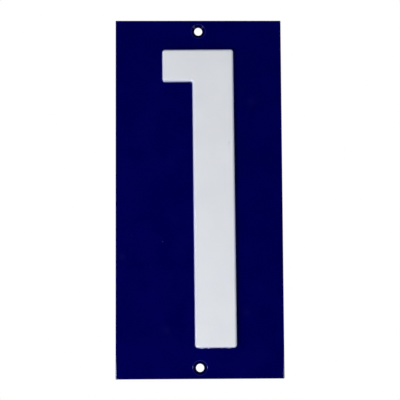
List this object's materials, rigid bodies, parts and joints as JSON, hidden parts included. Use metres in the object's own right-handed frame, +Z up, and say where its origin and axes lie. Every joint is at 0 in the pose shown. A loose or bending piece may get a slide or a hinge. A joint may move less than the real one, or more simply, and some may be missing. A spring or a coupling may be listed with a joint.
{
  "type": "house number plaque",
  "caption": "Flat upright enamelled steel plaque with a raised white numeral on deep blue, hollow behind, with dished screw holes near its top and bottom edges.",
  "frame": {"origin": "midway between the two screw holes, in the plane of the flat back that lies on the wall", "axes": "+Z up, +X to the right of someone reading the numeral, -Y out of the front towards that person, +Y into the wall"},
  "size_m": [0.07, 0.0041, 0.151],
  "materials": {
    "enamel": "glossy vitreous enamel, deep blue, with a white numeral"
  },
  "bodies": {
    "root": {"plate": "enamel"}
  },
  "joints": []
}
